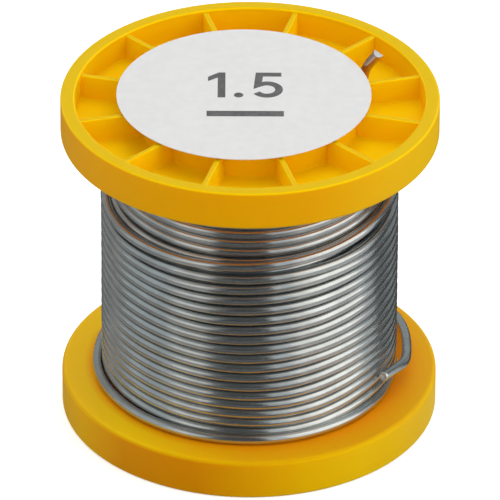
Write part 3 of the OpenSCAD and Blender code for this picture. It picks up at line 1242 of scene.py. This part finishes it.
def make_floor():
    mesh = bpy.data.meshes.new("studio_floor")
    corners = [(x * FLOOR_REACH, y * FLOOR_REACH, 0) for x, y in ((-1, -1), (1, -1), (1, 1), (-1, 1))]
    mesh.from_pydata(corners, [], [(0, 1, 2, 3)])
    material, tree, output = new_material("pale_floor")
    seen = seen_directly(tree)
    matt = mixed(tree, seen, "BsdfDiffuse", {"Color": FLOOR_DULL}, {"Color": FLOOR_PALE})
    glow = mixed(tree, seen, "Emission", {"Strength": 0.0}, {"Strength": FLOOR_GLOW})
    both = add_node(tree, "AddShader")
    join(tree, matt, 0, both, 0)
    join(tree, glow, 0, both, 1)
    join(tree, both, "Shader", output, "Surface")
    mesh.materials.append(material)
    floor = object_from_mesh("studio_floor", mesh)
    floor.location.z = -0.02 * MM
    return floor


floor = make_floor()
print(floor.name, "reaches", FLOOR_REACH, "m")

# %% World
ROOM_LIGHT = 0.80


def make_world():
    world = bpy.data.worlds.new("studio_world")
    world.use_nodes = True
    tree = world.node_tree
    tree.nodes.clear()
    output = tree.nodes.new("ShaderNodeOutputWorld")
    both = mixed(tree, seen_directly(tree), "Background", {"Strength": ROOM_LIGHT}, {"Strength": 1.0})
    for node in tree.nodes:
        if node.bl_idname == "ShaderNodeBackground":
            node.inputs["Color"].default_value = (1, 1, 1, 1)
    join(tree, both, "Shader", output, "Surface")
    bpy.context.scene.world = world
    return world


world = make_world()
print(world.name, "lights with a strength of", ROOM_LIGHT)

# %% [markdown]
# Bright metal is only as good as what it mirrors. In a white room it would look flat, so in a studio
# panels stand round it. One image of a room could light the world instead, but single panels are
# easier to move. Each is a patch of a large sphere round the spool and glows at its own level. They
# are seen in reflections only, so they shape the metal and leave the light on the plastic alone:
# what the metal passes on to the plastic is the room's own light again. The panels aren't part of
# the object.

# %% A glowing panel
PANEL_RADIUS = 1.05
FLOOR_PANEL_START = 0.02


def panel(name, columns, rows, place_at, level, colour):
    points = [place_at(i / rows, k / columns) for i in range(rows + 1) for k in range(columns + 1)]
    faces = []
    for i in range(rows):
        for k in range(columns):
            f = i * (columns + 1) + k
            faces.append((f, f + 1, f + columns + 2, f + columns + 1))
    mesh = bpy.data.meshes.new(name)
    mesh.from_pydata([tuple(p) for p in points], [], faces)
    material, tree, output = new_material(name + "_glow")
    path = add_node(tree, "LightPath")
    passed_on = add_node(tree, "Math", operation="GREATER_THAN")
    join(tree, path, "Diffuse Depth", passed_on, "Value")
    glow = mixed(
        tree, passed_on.outputs[0], "Emission",
        {"Color": colour, "Strength": level}, {"Color": (1, 1, 1, 1), "Strength": ROOM_LIGHT},
    )
    join(tree, glow, "Shader", output, "Surface")
    mesh.materials.append(material)
    piece = object_from_mesh(name, mesh)
    piece.visible_camera = False
    piece.visible_diffuse = False
    piece.visible_shadow = False
    piece.visible_transmission = False
    return piece


def towards_room(side, elevation):
    """A direction from the spool, by its angle to the side of the front and its height in degrees."""
    a, e = math.radians(side - 90), math.radians(elevation)
    return Vector((math.cos(a) * math.cos(e), math.sin(a) * math.cos(e), math.sin(e)))


def standing_panel(name, sides, elevations, level, colour=grey(1)):
    def place_at(up, along):
        side = sides[0] + (sides[1] - sides[0]) * along
        elevation = elevations[0] + (elevations[1] - elevations[0]) * up
        return TARGET + PANEL_RADIUS * towards_room(side, elevation)

    return panel(name, 8, 8, place_at, level, colour)


def floor_panel(name, sides, level):
    def place_at(out, along):
        a = math.radians(sides[0] + (sides[1] - sides[0]) * along - 90)
        r = FLOOR_PANEL_START + out
        return Vector((r * math.cos(a), r * math.sin(a), -0.01 * MM))

    return panel(name, 12, 1, place_at, level, grey(1))


print("panels stand", PANEL_RADIUS, "m away")

# %% [markdown]
# A nearly black panel in front gives the wire its dark stripe, a bright one at the right its
# highlight, and grey ones close the rest. A panel's row holds its name, its two sides in degrees from
# the front, its lowest and highest elevation, its level and its colour. Floor panels lie just above
# the floor and have no elevation.

# %% Where the panels stand
COOL = (0.84, 0.94, 0.98, 1)
WARM = (1.0, 0.98, 0.93, 1)
STANDING_PANELS = [
    ("dark_front_panel", (-27, 15), (-1, 89), 0.05, COOL),
    ("left_strip_panel", (-57, -27), (-1, 38), 0.78, WARM),
    ("left_panel", (-106, -57), (-1, 58), 0.50, COOL),
    ("left_upper_panel", (-106, -27), (58, 89), 0.16, COOL),
    ("left_upper_strip_panel", (-57, -27), (38, 58), 0.34, COOL),
    ("back_left_panel", (-155, -106), (-1, 89), 0.29),
    ("back_panel", (155, 205), (-1, 60), 0.37, COOL),
    ("back_upper_panel", (155, 205), (60, 89), 0.22),
    ("right_edge_panel", (17, 30), (0, 60), 0.62, COOL),
    ("right_near_panel", (30, 45), (0, 60), 1.05, WARM),
    ("right_panel", (45, 88), (0, 60), 1.42, WARM),
    ("right_far_panel", (88, 102), (0, 60), 0.54, COOL),
    ("right_upper_panel", (15, 106), (60, 89), 0.48),
    ("right_gap_panel", (102, 122), (-1, 46), 0.12, COOL),
    ("right_back_panel", (122, 155), (-1, 46), 0.26, COOL),
    ("right_back_upper_panel", (106, 155), (46, 89), 0.45, COOL),
]
FLOOR_PANELS = [
    ("left_back_floor_panel", (-180, -112), 0.17),
    ("left_floor_panel", (-112, -57), 0.25),
    ("left_strip_floor_panel", (-57, -27), 0.34),
    ("front_floor_panel", (-27, 17), 0.1),
    ("right_edge_floor_panel", (17, 32), 0.24),
    ("right_floor_panel", (32, 95), 0.5),
    ("right_back_floor_panel", (95, 142), 0.06),
    ("back_floor_panel", (142, 180), 0.16),
]
panels = [standing_panel(*values) for values in STANDING_PANELS]
panels += [floor_panel(*values) for values in FLOOR_PANELS]
print("panels:", [piece.name for piece in panels])

# %% [markdown]
# Most of the light on plastic and paper comes evenly from the world. Two soft lamps give it a
# direction: one hangs over the spool and one stands at the right. A sun lamp would draw hard shadows,
# and an area lamp draws soft ones, as a soft box does. The lamps are left out of reflections, where
# the panels stand for them.

# %% Lamps
LAMP_DISTANCE = 0.9


def soft_box(name, side_angle, elevation, width, height, power):
    data = bpy.data.lights.new(name, "AREA")
    data.shape = "RECTANGLE"
    data.size, data.size_y = width, height
    data.energy = power
    lamp = bpy.data.objects.new(name, data)
    bpy.context.scene.collection.objects.link(lamp)
    out = towards_room(side_angle, elevation)
    lamp.location = TARGET + out * LAMP_DISTANCE
    lamp.rotation_mode = "QUATERNION"
    lamp.rotation_quaternion = out.to_track_quat("Z", "Y")
    lamp.visible_glossy = False
    return lamp


lamps = [
    soft_box("top_box", 150, 76, 0.7, 0.7, 2.1),
    soft_box("right_box", 68, 25, 0.7, 0.6, 1.6),
]
print("lamps:", [lamp.name for lamp in lamps])

# %% [markdown]
# ## Colour
# The Standard view shows a colour as it is written.

# %% Finish
bpy.context.scene.view_settings.view_transform = "Standard"
